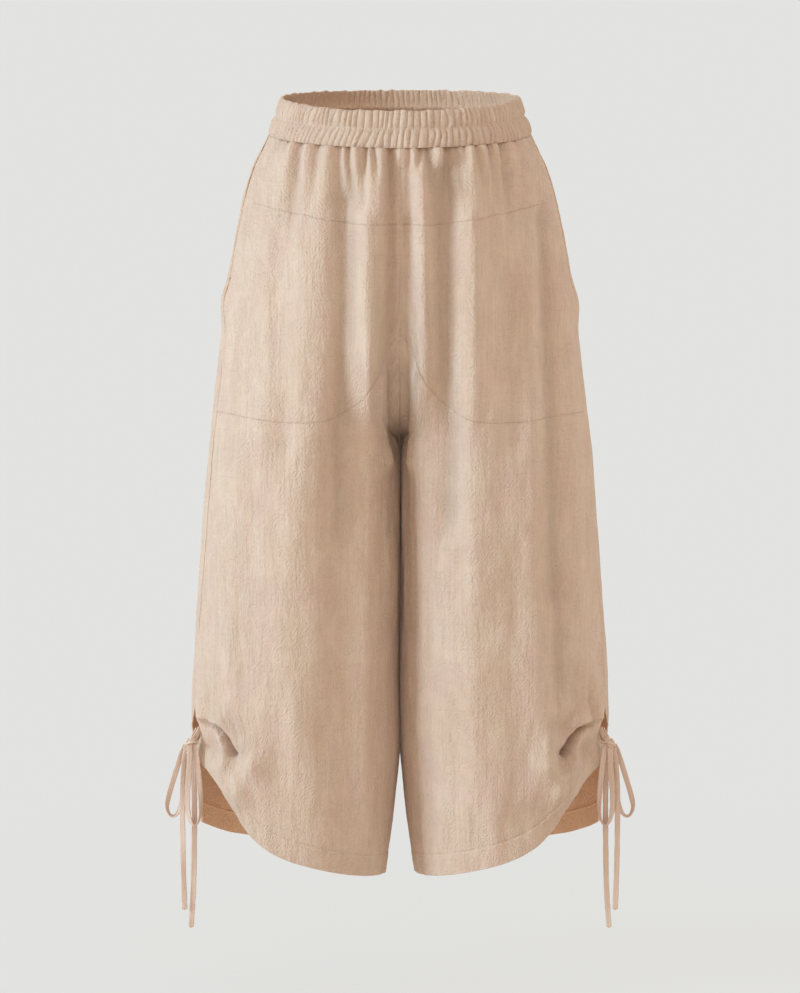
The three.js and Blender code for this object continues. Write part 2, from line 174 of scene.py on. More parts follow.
def paper_material():
    """Pale paper that glows as the room does, and takes a soft shadow close under the garment."""
    material, start, surface = new_material("pale_paper")
    surface.inputs["Base Color"].default_value = (0.8, 0.8, 0.79, 1)
    surface.inputs["Roughness"].default_value = 1.0
    surface.inputs["Specular IOR Level"].default_value = 0.0
    place = start.node("ShaderNodeTexCoord", out="Object")
    far = start.node("ShaderNodeVectorMath", {"operation": "LENGTH"}, {0: place}, "Value")
    glow = start.node("ShaderNodeEmission", None, {"Color": (*PAPER, 1)})
    lit = Shade(start.tree, surface.outputs[0])
    share = 0.75 + 0.25 * far.between(0.3, 1.6)
    mixed = start.node("ShaderNodeMixShader", None, {0: share, 1: lit, 2: glow})
    start.tree.links.new(mixed.socket, start.tree.nodes["Material Output"].inputs["Surface"])
    return material


def make_floor():
    """A flat disc: radius x (cos turn, sin turn) on 24 rings of 96 points."""
    rings, sides = 24, 96
    radius = 9.0 * (np.arange(rings + 1) / rings)[:, None] ** 2 + 0.01
    turn = np.arange(sides)[None, :] / sides * 2 * np.pi
    points = np.stack([radius * np.cos(turn), radius * np.sin(turn)], -1).reshape(-1, 2)
    points = np.column_stack([points, np.full(len(points), FLOOR_HEIGHT)])
    i, j = np.meshgrid(np.arange(rings), np.arange(sides), indexing="ij")
    a, b = i * sides + j, i * sides + (j + 1) % sides
    quads = np.stack([a, a + sides, b + sides, b], -1).reshape(-1, 4)
    mesh = bpy.data.meshes.new("floor")
    mesh.from_pydata(points.tolist(), [], [*quads.tolist(), list(range(sides))])
    mesh.materials.append(paper_material())
    floor = bpy.data.objects.new("floor", mesh)
    bpy.context.scene.collection.objects.link(floor)
    floor.visible_diffuse = False
    floor.visible_glossy = False


make_floor()


# ---------------------------------------------------------------------------------------------
# The shape of the garment: each half is an upright tube that narrows at the waist and widens from
# the hip down to the slits. All the cloth pieces below are cut from this surface.
SEAM_GAP = 0.05 * mm  # pieces all but touch where they are sewn
BAND_HEIGHT = 37 * mm
CROTCH = -329 * mm
AXIS_TOP = -60 * mm
POCKET_END = -190 * mm
SLIT_TOP = -601 * mm
PARTING = -650 * mm  # below this height the legs hang apart
LEG_SPREAD = 15 * mm  # half the space between the legs, 127 mm below that
POCKET_BULGE = 4.5 * mm  # how far the garment's side stands out at the pocket's end

# height, half the width, reach to the front, reach to the back
LEVELS = mm * np.array([
    (34, 117, 86, 88), (-19, 134, 95, 97), (-55, 151, 103, 107), (-96, 162.5, 108, 115),
    (-157, 174, 113, 124), (-229, 182.5, 115, 130), (-311, 193, 111, 128), (-394, 201, 105, 120),
    (-518, 211, 99, 112), (-610, 216, 97, 108), (-700, 211, 96, 106), (-785, 206, 96, 104),
])
# height, distance inside the garment's widest line
POCKET_MOUTH = mm * np.array([(-10, 3), (-50, 9), (-86, 12.5), (-112, 9.5), (-145, 5.5), (-190, 3)])
OUTSEAM = mm * np.array([(0, 0.3), (-120, 0.6), (-190, 3), (-240, 4), (-300, 5.5), (-601, 5.5)])
SLIT_EDGE = mm * np.array([(-601, 5.5), (-620, 10), (-634, 9.5), (-650, 4), (-700, 4)])


def through(table, column, at):
    """Smooth curve through a table's rows. Between two rows it eases by 3t² - 2t³ and adds the
    rows' slopes, where a row's slope is the rise over the rows on both sides of it."""
    rows = table[np.argsort(table[:, 0])]
    place, value = rows[:, 0], rows[:, column]
    every = np.arange(len(place))
    low, high = np.maximum(every - 1, 0), np.minimum(every + 1, len(place) - 1)
    slope = (value[high] - value[low]) / (place[high] - place[low])
    k = np.clip(np.searchsorted(place, at, side="right") - 1, 0, len(place) - 2)
    span = place[k + 1] - place[k]
    t = np.clip((at - place[k]) / span, 0, 1)
    ease = t * t * (3 - 2 * t)
    bend = t * (1 - t) ** 2 * slope[k] - t * t * (1 - t) * slope[k + 1]
    return value[k] * (1 - ease) + value[k + 1] * ease + bend * span


def tube(z):
    """Axis, inner side, half width and reaches of one half at a height. The axis leaves the
    middle plane by 1 - (1 - drop^3.5)², where drop is the share of the way to the crotch."""
    half = through(LEVELS, 1, z) + POCKET_BULGE * np.exp(-(((z - POCKET_END) / (20 * mm)) ** 2))
    inner = SEAM_GAP / 2 + LEG_SPREAD * np.maximum((PARTING - z) / (127 * mm), 0) ** 1.2
    drop = np.clip((AXIS_TOP - z) / (AXIS_TOP - CROTCH), 0, 1)
    parted = 1 - (1 - drop**3.5) ** 2
    axis = (half + inner) / 2 * parted
    return axis, inner, half - axis, through(LEVELS, 2, z), through(LEVELS, 3, z)


def place(side, z, angle, rise):
    """Points of one half: x = axis - half width x cos(angle) and y = reach x sin(angle), moved
    out by `rise` along the normal of that ellipse. The side is 1 for the left and -1 mirrors."""
    axis, inner, across, front, back = tube(z)
    reach = np.where(np.sin(angle) > 0, back, front)
    out_x, out_y = -np.cos(angle) / across, np.sin(angle) / reach
    share = rise / np.hypot(out_x, out_y)
    x = axis - across * np.cos(angle) + out_x * share
    return np.stack([side * x, reach * np.sin(angle) + out_y * share, z + 0 * x], -1)


def inner_angle(z):
    """Angle at which a half meets the middle plane, or its leg's inner line below the crotch."""
    axis, inner, across, front, back = tube(z)
    return np.maximum(np.arccos(np.clip((axis - inner) / across, -1, 1)), SEAM_GAP / 2 / front)


def edge_angle(z, inset):
    """Angle of an edge that lies `inset` inside the widest line."""
    return np.pi - np.arccos(1 - inset / tube(z)[2])


def front_angles(z):
    """Inner and side edge of the front: down the pocket's mouth, the outseam and the slit."""
    inset = np.where(z > POCKET_END, through(POCKET_MOUTH, 1, z), through(OUTSEAM, 1, z))
    inset = np.where(z > SLIT_TOP, inset, through(SLIT_EDGE, 1, z))
    return inner_angle(z), edge_angle(z, inset)


def back_angles(z):
    """Inner and side edge of the back, which draws back from the slit over its first 40 mm."""
    at_seam = 2 * np.pi - edge_angle(z, through(OUTSEAM, 1, z)) - 0.003
    beside_slit = np.pi - 0.16 * np.clip((SLIT_TOP - z) / (130 * mm), 0, 1)
    t = np.clip((SLIT_TOP - z) / (40 * mm), 0, 1)
    ease = t * t * (3 - 2 * t)
    return inner_angle(z), at_seam * (1 - ease) + beside_slit * ease


def rim_height(angle):
    """Height of the band's top edge: lowest in front, highest at the back."""
    front = -np.sin(angle)
    return mm * (15.5 - 15.5 * front + 3.5 * (1 - front**2))


def under_band(face, angles):
    """Height of a panel's top edge by share across it, settled in a few turns because the angle
    of the edge depends on the height."""

    def height(share):
        z = 0 * share
        for _ in range(6):
            inner, outer = angles(z)
            z = rim_height(face * (inner + (outer - inner) * share)) - BAND_HEIGHT - SEAM_GAP
        return z

    return height


def seam(table, shift=0.0, waves=0.0):
    """Height of a seam or hem by share across the panel, with small waves where it puckers."""

    def height(share):
        return through(table, 1, share) + shift + waves * lattice(23, share * 21, 0 * share)

    return height


# ---------------------------------------------------------------------------------------------
# The cloth: a slubby linen-cotton of about 165 g per square metre, plain woven and washed, so that
# it is crinkled all over. It hangs in soft creases from the gathers under the waistband.

# Creases: which side they're on (0 both, 1 the wearer's left, -1 the right), where
# they start and end (distance from the middle, height), rise, width, and how far they fade
FRONT_FOLDS = [
    (0, 47, -70, 52, -400, -5, 13, 0), (0, 26, -80, 26, -330, 3, 11, 0),
    (0, 110, -60, 114, -330, -3.5, 12, 0), (0, 76, -120, 82, -500, 3, 17, 0),
    (1, 142, -110, 152, -480, -3.5, 11, 0), (1, 84, -560, 96, -700, 4, 20, 0),
    (-1, 112, -380, 106, -620, 4, 22, 0), (0, 196, -636, 168, -650, -8, 12, 0),
    (0, 190, -610, 168, -600, 4, 12, 0), (0, 184, -664, 160, -692, 6, 12, 0),
    (0, 152, -640, 140, -680, 3, 16, 0),
]
# the same, with straighter sides and a narrower top: the folds that catch the light
FRONT_RIDGES = [
    (-1, 95, -150, 98, -690, 5.0, 24, 0.2), (-1, 56, -90, 62, -420, -9.5, 9, 0.3),
    (-1, 32, -110, 40, -740, 8.5, 10, 0.1), (-1, 9, -40, 8, -420, -5.0, 6, 0.3),
    (1, 69, -100, 76, -690, 8.5, 12, 0.3), (1, 43, -60, 45, -420, -9.5, 9, 0.4),
    (1, 22, -60, 26, -620, 4.0, 7, 0.3), (1, 6, -110, 6, -520, -4.0, 5, 0.1),
    (1, 147, -100, 164, -640, -7.0, 8, 0.2), (1, 166, -140, 182, -560, 4.0, 8, 0.3),
    (1, 128, -130, 132, -640, 3.0, 12, 0.3), (-1, 124, -110, 128, -330, -3.0, 7, 0.5),
    # the cloth beside the middle seam closes over the crotch
    (0, 14, -262, 13, -352, 7.5, 6.5, 0),
    # the drawn-up corner at the tie: an upright pleat, and a deep tuck with a lip above it
    (0, 195, -614, 193, -556, -8, 3, 1), (0, 201, -612, 199, -548, 4, 3.5, 1),
    (0, 188, -606, 185, -545, 5, 5, 1), (0, 198, -612, 184, -615, 6, 3.5, 0),
    (0, 197, -619, 186, -621, -6, 2.5, 0), (0, 187, -620, 176, -631, -6, 3.4, 0),
    (0, 176, -631, 169, -645, -6, 3.8, 0), (0, 183, -630, 173, -657, 8, 4.5, 0),
    (0, 173, -655, 157, -680, 5, 7, 0), (0, 176, -612, 164, -634, 5, 6, 0),
    (0, 146, -655, 142, -560, 6, 8, 1), (0, 146, -655, 158, -684, 4.5, 8, 0),
]
# the gathers under the band, first on the wearer's right and then on the left
FRONT_GATHERS = [
    (-1, 121, -22, 138, -66, -3.2, 3.2, 1), (-1, 112, -24, 116, -42, -2.4, 2.6, 1),
    (-1, 101, -28, 113, -128, -3.6, 4.2, 1), (-1, 106, -30, 124, -100, 1.6, 4, 1),
    (-1, 82, -32, 88, -100, -3.0, 3.6, 1), (-1, 91, -30, 98, -90, 1.8, 4, 1),
    (-1, 60, -35, 62, -150, -3.0, 4.6, 1), (-1, 71, -34, 75, -110, 1.8, 4.5, 1),
    (-1, 52, -36, 47, -92, -3.0, 2.8, 1), (-1, 56, -36, 55, -80, 2.0, 2.6, 1),
    (-1, 34, -37, 37, -104, -3.2, 3.2, 1), (-1, 43, -37, 43, -110, 2.0, 4, 1),
    (-1, 27, -37, 20, -72, -2.4, 2.4, 1), (-1, 30, -37, 29, -90, 1.8, 2.4, 1),
    (-1, 11, -36, 10, -330, -4.4, 3.2, 0.6), (-1, 17, -36, 16, -300, 2.0, 4, 0.8),
    (1, 9, -36, 9, -260, -2.2, 2.8, 0.8), (1, 20, -37, 15, -76, -3.0, 2.8, 1),
    (1, 28, -37, 37, -122, -3.4, 3.8, 1), (1, 14, -37, 22, -120, 1.6, 3.6, 1),
    (1, 47, -36, 55, -140, -4.0, 4.0, 1), (1, 39, -36, 45, -130, 2.4, 4.2, 1),
    (1, 56, -35, 69, -104, -2.2, 4.4, 1), (1, 65, -35, 65, -62, -1.8, 2.6, 1),
    (1, 76, -34, 86, -92, -2.2, 3.4, 1), (1, 70, -34, 76, -110, 1.8, 4, 1),
    (1, 89, -33, 97, -104, -2.8, 3.8, 1), (1, 83, -33, 92, -100, 1.6, 3.4, 1),
    (1, 102, -30, 112, -136, -3.0, 4.2, 1), (1, 96, -30, 106, -120, 1.8, 4, 1),
]
FRONT_CREASES = [
    (1, 115, -27, 126, -72, -2.4, 3.2, 1), (1, 109, -27, 120, -90, 1.8, 3.6, 1),
    # long soft folds down the hip and the leg
    (-1, 129, -120, 134, -330, 1.6, 8, 0.5), (-1, 146, -90, 156, -300, -1.6, 6, 0.6),
    (-1, 97, -130, 100, -420, 2.0, 11, 0.4), (-1, 66, -150, 66, -300, -0.9, 5, 0.6),
    (1, 132, -120, 138, -400, 2.0, 8, 0.4), (1, 162, -150, 172, -470, 2.0, 8, 0.4),
    (1, 70, -130, 72, -330, 1.6, 8, 0.5), (1, 98, -160, 100, -330, -1.0, 5, 0.6),
    (-1, 60, -420, 54, -700, -1.6, 14, 0.3), (-1, 86, -500, 80, -740, 1.4, 10, 0.3),
    (-1, 150, -420, 160, -590, -1.5, 12, 0.3), (-1, 178, -330, 184, -560, 1.2, 8, 0.4),
    (1, 52, -440, 46, -700, 1.8, 12, 0.3), (1, 116, -430, 126, -640, -2.2, 12, 0.3),
    (1, 144, -500, 146, -640, 2.0, 10, 0.3), (1, 176, -420, 184, -580, -1.4, 8, 0.4),
    # slanting pulls across the leg
    (-1, 150, -250, 118, -300, 0.8, 5, 0.5), (1, 60, -500, 92, -470, 0.8, 5, 0.5),
    (1, 30, -350, 56, -420, -0.9, 4, 0.6), (-1, 30, -350, 52, -410, -0.8, 4, 0.6),
    (-1, 104, -610, 134, -570, 0.8, 6, 0.5), (1, 96, -300, 128, -350, 0.7, 5, 0.5),
    # the tuck at the tie, and pulls that fan out from it
    (0, 190, -619, 181, -624, -7, 2.6, 0), (0, 181, -624, 170, -645, -11, 3.2, 0),
    (0, 176, -560, 180, -600, -1.4, 5, 0), (0, 170, -604, 156, -596, -1.6, 6, 0.6),
    (0, 192, -640, 182, -676, -1.4, 4, 0.4), (0, 200, -634, 197, -664, 1.2, 4, 0.3),
    (0, 150, -684, 128, -708, -1.2, 8, 0.5), (0, 172, -684, 150, -716, 1.0, 6, 0.5),
    (1, 136, -620, 128, -664, -1.6, 7, 0.3), (-1, 126, -610, 120, -664, -1.2, 8, 0.3),
]
MIDDLE_VALLEY = [(0, 0, -60, 0, -330, -9, 9, 0)]
BACK_FOLDS = [
    (0, 36, -80, 40, -300, -4, 13, 0), (0, 82, -60, 90, -420, 3.5, 17, 0),
    (0, 122, -90, 130, -380, -3.5, 13, 0), (0, 96, -400, 92, -700, -4, 20, 0),
    (0, 190, -640, 160, -672, -5, 13, 0),
]
BACK_CREASES = [
    (0, 194, -560, 195, -612, -2.0, 4, 0), (0, 186, -600, 176, -640, 2.0, 5, 0.3),
    (1, 66, -420, 70, -690, -2.0, 14, 0.2), (-1, 108, -420, 104, -690, -1.5, 12, 0.2),
    (1, 124, -470, 130, -640, 2.0, 10, 0.3), (-1, 60, -430, 58, -640, 2.0, 11, 0.3),
    (1, 40, -430, 44, -620, 1.5, 9, 0.3), (-1, 136, -420, 142, -620, 1.8, 10, 0.3),
    (0, 60, -60, 66, -220, -1.8, 6, 0.6), (0, 104, -60, 112, -240, -1.6, 6, 0.6),
]
BACK_GATHERS = 21
CRINKLES = [
    # pitch across, pitch down, rise
    (38, 190, 1.5), (15, 80, 0.8), (8, 34, 0.5), (4.6, 13, 0.24),
]


def creases(rows, side, across, z, sharp=False):
    """Sum of creases, where the rise fades and the width grows along each. A soft one is rise x
    exp(-away²) and a sharp one rise x exp(0.4 - sqrt(away² + 0.16)), which has straighter sides;
    away is the distance to the crease's line over its width."""
    total = np.zeros_like(z)
    for only, x1, z1, x2, z2, rise, width, fade in rows:
        if only in (0, side):
            dx, dz = (x2 - x1) * mm, (z2 - z1) * mm
            off_x, off_z = across - x1 * mm, z - z1 * mm
            t = np.clip((off_x * dx + off_z * dz) / (dx * dx + dz * dz), 0, 1)
            away = np.hypot(off_x - dx * t, off_z - dz * t) / (width * mm * (1 + 0.7 * fade * t))
            section = np.exp(0.4 - np.sqrt(away**2 + 0.16)) if sharp else np.exp(-(away**2))
            total += rise * mm * (1 - fade * t) * section
    return total


def lattice(seed, across, down):
    """Smooth random waves from -1 to 1: random heights at the whole numbers of both, with the
    ease 3t² - 2t³ between them."""
    heights = np.random.default_rng(seed).uniform(-1, 1, (128, 128))
    i, j = np.floor(across).astype(int), np.floor(down).astype(int)
    s, t = across - i, down - j
    s, t = s * s * (3 - 2 * s), t * t * (3 - 2 * t)
    low = heights[i % 128, j % 128] * (1 - s) + heights[(i + 1) % 128, j % 128] * s
    high = heights[i % 128, (j + 1) % 128] * (1 - s) + heights[(i + 1) % 128, (j + 1) % 128] * s
    return low * (1 - t) + high * t


RIDGES = 126  # small ridges round the waistband


def ridges(seed, turn, down, slant):
    """Fine ridges round the band: 1 on a ridge and 0 in the trough between two, by the absolute
    sine of the place among them to the power 0.38. Random waves crowd and spread them."""
    around = turn / (2 * np.pi) * RIDGES
    wander = 0.45 * lattice(seed, around / 2.6, 0 * down)
    wander = wander + 0.2 * lattice(seed + 1, around / 1.4, down * 3)
    crest = np.abs(np.sin(np.pi * (around + wander + slant * down))) ** 0.38
    return crest * (0.85 + 0.3 * lattice(seed + 2, around / 1.3, down * 2))


def crinkle(seed, along, z):
    """Crinkles of the washed cloth: waves of several pitches, long in the warp's direction."""
    total = np.zeros_like(z)
    for k, (pitch_across, pitch_down, rise) in enumerate(CRINKLES):
        bend = 0.6 * lattice(seed + 50, along / (40 * mm), z / (60 * mm))
        share = lattice(seed + k, along / (pitch_across * mm) + bend, z / (pitch_down * mm))
        total += rise * mm * share
    return total


def back_gathers(side, along, z):
    """Uneven gathers round the back: soft narrow troughs of random place, depth and length."""
    draw = np.random.default_rng(71 + side)
    spots = np.linspace(10, 172, BACK_GATHERS) + draw.uniform(-2.5, 2.5, BACK_GATHERS)
    rows = [
        (0, x, -8, x * 1.07 + draw.uniform(-2, 3), -8 - draw.uniform(30, 110),
         -draw.uniform(1.4, 3.4), draw.uniform(2.6, 4.2), 1)
        for x in spots
    ]
    return creases(rows, side, along, z)


def spread_shares(length, pitch, hem=False, dense=1.0):
    """Shares from 0 to 1 about a pitch apart, with a few more close to each edge and, if asked,
    at the stitching of a hem. Past the share `dense` they lie twice as close, by a straight line
    that bends there."""
    near = np.array([0, 0.5, 1.1, 1.8, 2.7, 4.0]) * mm / length
    count = int(length / pitch * (2 - dense))
    body = np.linspace(near[-1], 1 - near[-1], max(count, 2))[1:-1]
    if dense < 1:
        even = np.linspace(0, 1, count)
        body = np.interp(even, [0, dense / (2 - dense), 1], [near[-1], dense, 1 - near[-1]])[1:-1]
    extra = 1 - (HEM_DEPTH + np.array([-1.4, -0.7, 0, 0.4, 0.8, 1.5]) * mm) / length
    parts = [near, body, 1 - near] + ([extra] if hem else [])
    return np.unique(np.round(np.concatenate(parts), 6))


def surface_mesh(name, outer, inner, uv, edge, material, ring=False, turned=False):
    """Closed piece of cloth between an outer and an inner grid of points, which are joined round
    their edges. A ring's columns join up. A turned piece is a mirrored one, so its faces are
    turned over. uv is in metres along the cloth, and edge darkens it: 1 at a dark seam, and more
    in a deep fold, where the darkening is painted shade. The inner wall is marked for a painted
    warm tint that stands in for light coming through the cloth."""
    rows, columns = outer.shape[:2]
    points = np.concatenate([outer.reshape(-1, 3), inner.reshape(-1, 3)])
    start = rows * columns
    spans = columns if ring else columns - 1
    i, j = np.meshgrid(np.arange(rows - 1), np.arange(spans), indexing="ij")
    a, b = i * columns + j, i * columns + (j + 1) % columns
    walls = np.stack([a, a + columns, b + columns, b], -1).reshape(-1, 4)
    side = np.arange(spans)
    top, top_next = side, (side + 1) % columns
    foot, foot_next = top + start - columns, top_next + start - columns
    rims = [
        np.stack([top, top_next, top_next + start, top + start], -1),
        np.stack([foot_next, foot, foot + start, foot_next + start], -1),
    ]
    if not ring:
        down = np.arange(rows - 1) * columns
        last = down + columns - 1
        rims.append(np.stack([down + columns, down, down + start, down + columns + start], -1))
        rims.append(np.stack([last, last + columns, last + columns + start, last + start], -1))
    rims = np.concatenate(rims)
    faces = np.concatenate([walls, walls[:, ::-1] + start, rims])
    if turned:
        faces = faces[:, ::-1]
    mesh = bpy.data.meshes.new(name)
    mesh.vertices.add(len(points))
    mesh.vertices.foreach_set("co", points.astype(np.float32).ravel())
    mesh.loops.add(faces.size)
    mesh.loops.foreach_set("vertex_index", faces.astype(np.int32).ravel())
    mesh.polygons.add(len(faces))
    mesh.polygons.foreach_set("loop_start", np.arange(0, faces.size, 4, dtype=np.int32))
    smooth = np.arange(len(faces)) < len(faces) - len(rims)
    mesh.polygons.foreach_set("use_smooth", smooth)
    flat = np.concatenate([uv.reshape(-1, 2)] * 2)[faces.ravel()]
    mesh.uv_layers.new(name="cloth").data.foreach_set("uv", flat.astype(np.float32).ravel())
    # the seam attribute holds dark seams, and painted shade in deep folds and the band's troughs
    near = mesh.attributes.new("seam", "FLOAT", "POINT")
    near.data.foreach_set("value", np.concatenate([edge.ravel()] * 2).astype(np.float32))
    # painted light: the inner wall is marked for a warm tint that stands in for light through the
    # cloth, less in the band
    inside = mesh.attributes.new("inside", "FLOAT", "POINT")
    light_through = 0.4 if ring else 1.0
    inside.data.foreach_set("value", np.repeat([0, light_through], start).astype(np.float32))
    mesh.update(calc_edges=True)
    mesh.validate()
    mesh.materials.append(material)
    piece = bpy.data.objects.new(name, mesh)
    bpy.context.scene.collection.objects.link(piece)
    return piece


def linen(name, cream, tan, pink, depth=1.0):
    """Woven linen-cotton on the piece's own map, in metres. Long streaks of cream and tan follow
    the warp, soft patches turn pinkish, and a few thick threads show. Seams are darker, and deep
    folds are darkened as painted shade. The inside is painted a warm orange, standing in for
    light that comes through the cloth. The bump is the weave, fine slanting crinkles in patches,
    and soft puckers."""
    material, start, surface = new_material(name)
    cloth = start.node("ShaderNodeTexCoord", out="UV")

    def noise(scale_x, scale_y, turn=0.0, detail=2.0, rough=0.55, offset=0.0):
        settings = {"vector_type": "POINT"}
        turned = start.node(
            "ShaderNodeMapping", settings, {"Vector": cloth, "Rotation": (0, 0, turn)}
        )
        inputs = {"Vector": turned, "Scale": (scale_x, scale_y, 1), "Location": (offset, 0, 0)}
        scaled = start.node("ShaderNodeMapping", settings, inputs)
        settings = {"noise_dimensions": "2D"}
        inputs = {"Vector": scaled, "Scale": 1.0, "Detail": detail, "Roughness": rough}
        return start.node("ShaderNodeTexNoise", settings, inputs)

    streak = noise(330, 14, detail=3, rough=0.6)
    broad = noise(42, 9, offset=7)
    patches = noise(26, 20, offset=3)
    thread_warp = noise(1250, 22, detail=1, offset=11)
    thread_weft = noise(16, 1100, detail=1, offset=5)
    slub = thread_warp.between(0.66, 0.76) + thread_weft.between(0.68, 0.78)
    colour = (0.5 * streak + 0.5 * broad).between(0.32, 0.68).mix(cream, tan)
    colour = (patches.between(0.45, 0.68) * 0.55).mix(colour, pink)
    colour = (slub * 0.28).mix(colour, (*(0.72 * c for c in tan[:3]), 1))
    # dark seams, and painted shade in deep folds and the band's troughs, read from the seam
    # attribute
    near = start.node("ShaderNodeAttribute", {"attribute_name": "seam"}, None, "Fac")
    colour = (near * 0.12).mix(colour, (*(0.60 * c for c in tan[:3]), 1))
    # painted light: the inside is tinted warm orange, standing in for light that comes through the
    # cloth
    inside = start.node("ShaderNodeAttribute", {"attribute_name": "inside"}, None, "Fac")
    colour = (inside * 0.85).mix(colour, (0.97, 0.66, 0.43, 1))
    start.tree.links.new(colour.socket, surface.inputs["Base Color"])

    left = noise(600, 260, turn=math.radians(38), detail=3, offset=2)
    right = noise(600, 260, turn=math.radians(-40), detail=3, offset=9)
    where = noise(34, 22, detail=1, offset=21).between(0.42, 0.58)
    fine = left * where + right * (1 - where)
    rumple = noise(170, 60, detail=2, offset=31)
    height = (
        fine * (1.8 * depth) + rumple * (1.0 * depth) + streak * (0.6 * depth)
        + thread_warp * 0.12 + thread_weft * 0.12 + slub * 0.04
    )
    bump = start.node("ShaderNodeBump", None, {"Strength": 1.0, "Distance": mm, "Height": height})
    start.tree.links.new(bump.socket, surface.inputs["Normal"])
    rough = 0.86 + 0.1 * streak
    start.tree.links.new(rough.socket, surface.inputs["Roughness"])
    surface.inputs["Specular IOR Level"].default_value = 0.25
    surface.inputs["Sheen Weight"].default_value = 0.25
    surface.inputs["Sheen Roughness"].default_value = 0.45
    surface.inputs["Sheen Tint"].default_value = (1.0, 0.93, 0.86, 1)
    return material


CLOTH = linen(
    "linen_cotton", (0.735, 0.58, 0.46, 1), (0.675, 0.51, 0.385, 1), (0.70, 0.51, 0.42, 1)
)


# ---------------------------------------------------------------------------------------------
# The front: on each side a yoke gathered into the band, a hip panel down to the curved seam, and
# a leg panel with a shirt-tail hem. The seams are pressed down and pucker a little as sewn.
HEM_DEPTH = 22 * mm
WALL = 0.9 * mm
TURN_UP = 0.8 * mm
SHARE_AND_HEIGHT = mm * np.array([1000, 1])  # for tables of a share and a height in mm
YOKE_SEAM = SHARE_AND_HEIGHT * np.array([
    (0, -113), (0.2, -112.5), (0.4, -107), (0.6, -100.5), (0.8, -95), (1, -90),
])
CURVED_SEAM = SHARE_AND_HEIGHT * np.array([
    (0, -222), (0.05, -238), (0.1, -261), (0.2, -287), (0.3, -300), (0.42, -308),
    (0.55, -309), (0.7, -306), (0.85, -302), (1, -301),
])
FRONT_HEM = SHARE_AND_HEIGHT * np.array([
    (0, -780), (0.27, -772), (0.5, -757), (0.62, -744), (0.71, -724), (0.78, -695),
    (0.85, -673), (0.94, -659), (1, -650),
])
GROOVE = 0.45 * mm
GROOVE_WIDTH = 1.5 * mm
HEM_GROOVE = 0.55 * mm
# painted shade: panels are coloured darker in their folds, most at this depth
DEEP_FOLD = 7 * mm  # folds this deep are the darkest, as little light gets into them
PUCKER = 0.38 * mm
FULLNESS = 3 * mm  # how far the gathered cloth swells out below the band
SEAM_WAVES = 0.9 * mm


def line_up(points):
    """Distance along each row, counted so that it equals x where x is 100 mm: the cloth's own
    sideways measure, which runs straight down the garment."""
    steps = np.linalg.norm(np.diff(points, axis=1), axis=2)
    along = np.concatenate([np.zeros((len(points), 1)), np.cumsum(steps, axis=1)], axis=1)
    x = np.abs(points[..., 0])
    at = np.argmin(np.abs(x - 0.1), axis=1)[:, None]
    return along - np.take_along_axis(along, at, 1) + np.take_along_axis(x, at, 1)


def stitches(name, line, normal, pitch=2.9 * mm):
    """Row of stitches along a line of points. Each is a bead, 2 mm long and 0.4 mm thick, with a
    square waist and sunk tips: centre + half length x along, and waist corners beside it."""
    steps = np.concatenate([[0], np.cumsum(np.linalg.norm(np.diff(line, axis=0), axis=1))])
    count = int(steps[-1] / pitch)
    at = (np.arange(count) + 0.5) * pitch

    def sample(values, at):
        return np.stack([np.interp(at, steps, values[:, k]) for k in range(3)], -1)

    centre, out = sample(line, at), sample(normal, at)
    along = sample(line, at + 0.4 * pitch) - sample(line, at - 0.4 * pitch)
    along /= np.linalg.norm(along, axis=1)[:, None]
    across = np.cross(out, along)
    corners = [
        centre + t * 0.6 * mm * along + (a * across + (0.1 + b) * out) * 0.2 * mm
        for t in (-1, 1) for a, b in ((1, 0), (0, 1), (-1, 0), (0, -1))
    ]
    tips = [centre + t * 1.0 * mm * along - 0.12 * mm * out for t in (-1, 1)]
    points = np.stack(corners + tips, 1)
    sides = np.arange(4)
    after = (sides + 1) % 4
    quads = np.stack([sides, sides + 4, after + 4, after], -1)
    first = np.stack([np.full(4, 8), sides, after], -1)
    last = np.stack([np.full(4, 9), after + 4, sides + 4], -1)
    start = (np.arange(count) * 10)[:, None, None]
    faces = (quads + start).reshape(-1, 4).tolist()
    faces += (np.concatenate([first, last]) + start).reshape(-1, 3).tolist()
    mesh = bpy.data.meshes.new(name)
    mesh.from_pydata(points.reshape(-1, 3).tolist(), [], faces)
    mesh.materials.append(THREAD)
    row = bpy.data.objects.new(name, mesh)
    bpy.context.scene.collection.objects.link(row)
    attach(row, "root")
    return row


def thread_material():
    """Matt cotton thread, a little lighter than the cloth, with a twist's unevenness."""
    material, start, surface = new_material("cotton_thread")
    place = start.node("ShaderNodeTexCoord", out="Object")
    grain = start.node("ShaderNodeTexNoise", None, {"Vector": place, "Scale": 900.0})
    colour = grain.mix((0.74, 0.58, 0.46, 1), (0.84, 0.70, 0.57, 1))
    start.tree.links.new(colour.socket, surface.inputs["Base Color"])
    surface.inputs["Roughness"].default_value = 0.8
    return material


THREAD = thread_material()


def grid_line(points, hidden, rows, columns):
    """Points of a piece along a line, given by fractional rows and columns of its grid, and the
    cloth's outward direction there."""
    low = np.minimum(rows.astype(int), points.shape[0] - 2)
    left = np.minimum(columns.astype(int), points.shape[1] - 2)
    f, g = (rows - low)[:, None], (columns - left)[:, None]

    def blend(grid):
        upper = grid[low, left] * (1 - g) + grid[low, left + 1] * g
        lower = grid[low + 1, left] * (1 - g) + grid[low + 1, left + 1] * g
        return upper * (1 - f) + lower * f

    line, under = blend(points), blend(hidden)
    out = line - under
    return line, out / np.linalg.norm(out, axis=1)[:, None]


